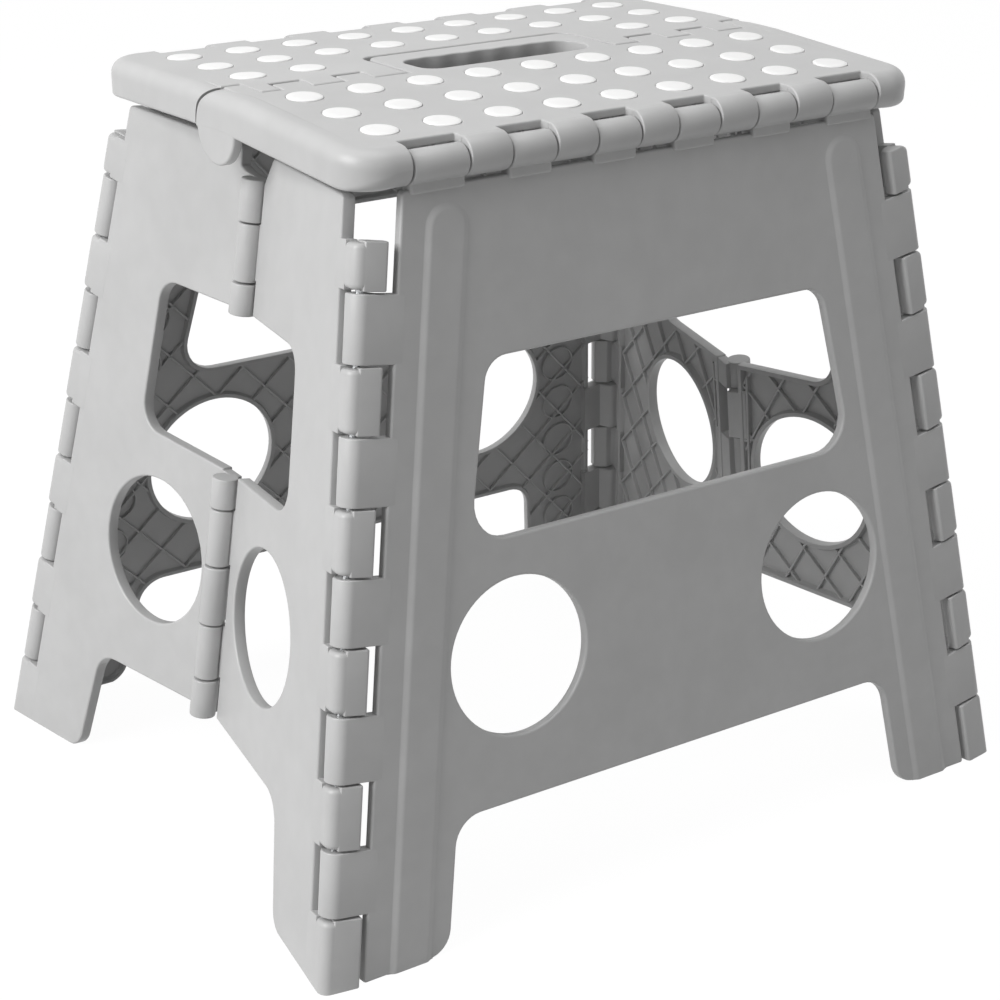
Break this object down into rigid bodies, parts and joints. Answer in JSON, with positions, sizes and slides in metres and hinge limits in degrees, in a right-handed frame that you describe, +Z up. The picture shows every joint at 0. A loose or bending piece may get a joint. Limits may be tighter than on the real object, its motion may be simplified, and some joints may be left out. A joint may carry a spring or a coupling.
{
  "type": "folding step stool",
  "caption": "Grey plastic folding step stool: a dotted two-part top with a carry handle slot on wide side panels and ends that fold in the middle.",
  "frame": {"origin": "on the floor, under the middle of the top", "axes": "+Z up, +X along the wide side panels, -Y towards the front half, which carries the handle"},
  "size_m": [0.4446, 0.3546, 0.3939],
  "materials": {
    "body": "satin grey moulded plastic",
    "grip": "white soft grip dots",
    "pin": "plain steel hinge pin"
  },
  "bodies": {
    "rear_side": {"rear_side_panel": "body", "left_rear_corner_pin": "pin", "right_rear_corner_pin": "pin", "rear_top_pin": "pin"},
    "rear_top": {"rear_top_panel": "body", "rear_grip_dots": "grip"},
    "left_rear_end": {"left_rear_end_panel": "body", "left_upper_middle_pin": "pin", "left_lower_middle_pin": "pin"},
    "left_front_end": {"left_front_end_panel": "body"},
    "right_rear_end": {"right_rear_end_panel": "body", "right_upper_middle_pin": "pin", "right_lower_middle_pin": "pin"},
    "right_front_end": {"right_front_end_panel": "body"},
    "front_side": {"front_side_panel": "body", "left_front_corner_pin": "pin", "right_front_corner_pin": "pin", "front_top_pin": "pin"},
    "front_top": {"front_top_panel": "body", "front_grip_dots": "grip", "left_centre_pin": "pin", "right_centre_pin": "pin"}
  },
  "joints": [
    {"name": "rear_top_hinge", "type": "hinge", "parent": "rear_side", "child": "rear_top", "pos_m": [0, 0.118, 0.3785], "axis": [-1, 0, 0], "range_deg": [0, 72.9]},
    {"name": "left_rear_corner", "type": "hinge", "parent": "rear_side", "child": "left_rear_end", "pos_m": [-0.216, 0.1697, 0], "axis": [0.1501, -0.1472, 0.9777], "range_deg": [0, 76]},
    {"name": "left_middle", "type": "hinge", "parent": "left_rear_end", "child": "left_front_end", "pos_m": [-0.198, 0, 0], "axis": [-0.1363, 0, -0.9907], "range_deg": [0, 149.75]},
    {"name": "left_front_corner", "type": "hinge", "parent": "left_front_end", "child": "front_side", "pos_m": [-0.216, -0.1697, 0], "axis": [0.1501, 0.1472, 0.9777], "range_deg": [0, 76]},
    {"name": "right_rear_corner", "type": "hinge", "parent": "rear_side", "child": "right_rear_end", "pos_m": [0.216, 0.1697, 0], "axis": [0.1501, 0.1472, -0.9777], "range_deg": [0, 76]},
    {"name": "right_middle", "type": "hinge", "parent": "right_rear_end", "child": "right_front_end", "pos_m": [0.198, 0, 0], "axis": [-0.1363, 0, 0.9907], "range_deg": [0, 149.75]},
    {"name": "front_top_hinge", "type": "hinge", "parent": "front_side", "child": "front_top", "pos_m": [0, -0.118, 0.3785], "axis": [1, 0, 0], "range_deg": [0, 72.9]}
  ],
  "couplings": [
    {"joint": "left_rear_corner", "follows": "rear_top_hinge", "ratio": 1.0425},
    {"joint": "left_middle", "follows": "rear_top_hinge", "ratio": 2.0542},
    {"joint": "left_front_corner", "follows": "rear_top_hinge", "ratio": 1.0425},
    {"joint": "right_rear_corner", "follows": "rear_top_hinge", "ratio": 1.0425},
    {"joint": "right_middle", "follows": "rear_top_hinge", "ratio": 2.0542},
    {"joint": "front_top_hinge", "follows": "rear_top_hinge", "ratio": 1}
  ]
}
